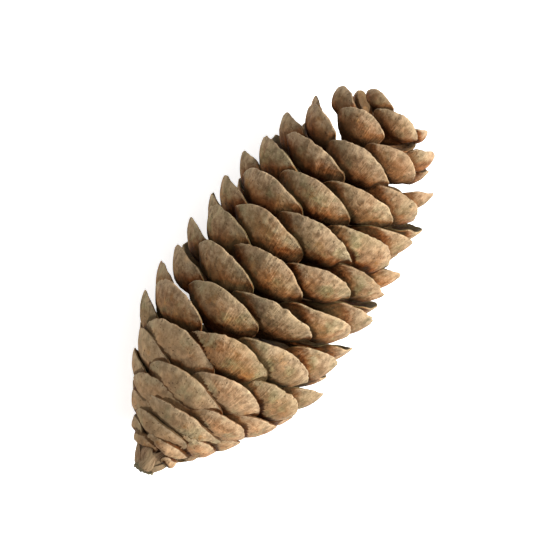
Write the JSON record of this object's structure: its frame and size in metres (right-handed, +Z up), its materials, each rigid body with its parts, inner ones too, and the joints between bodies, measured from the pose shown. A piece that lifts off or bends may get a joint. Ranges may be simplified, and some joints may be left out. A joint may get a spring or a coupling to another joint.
{
  "type": "pine cone",
  "caption": "Small dry conifer cone, opened, with thin cupped scales in a spiral round one woody axis, lying on its side.",
  "frame": {"origin": "centre of the bounding box, on the surface that the cone lies on", "axes": "+X along the cone's axis, from the broken stalk to the tip; +Z up from the surface it lies on"},
  "size_m": [0.0598, 0.0284, 0.0277],
  "materials": {
    "cone_wood": "dry, matt, fibrous scale wood, dark brown between the scales"
  },
  "bodies": {
    "root": {"cone": "cone_wood"}
  },
  "joints": []
}
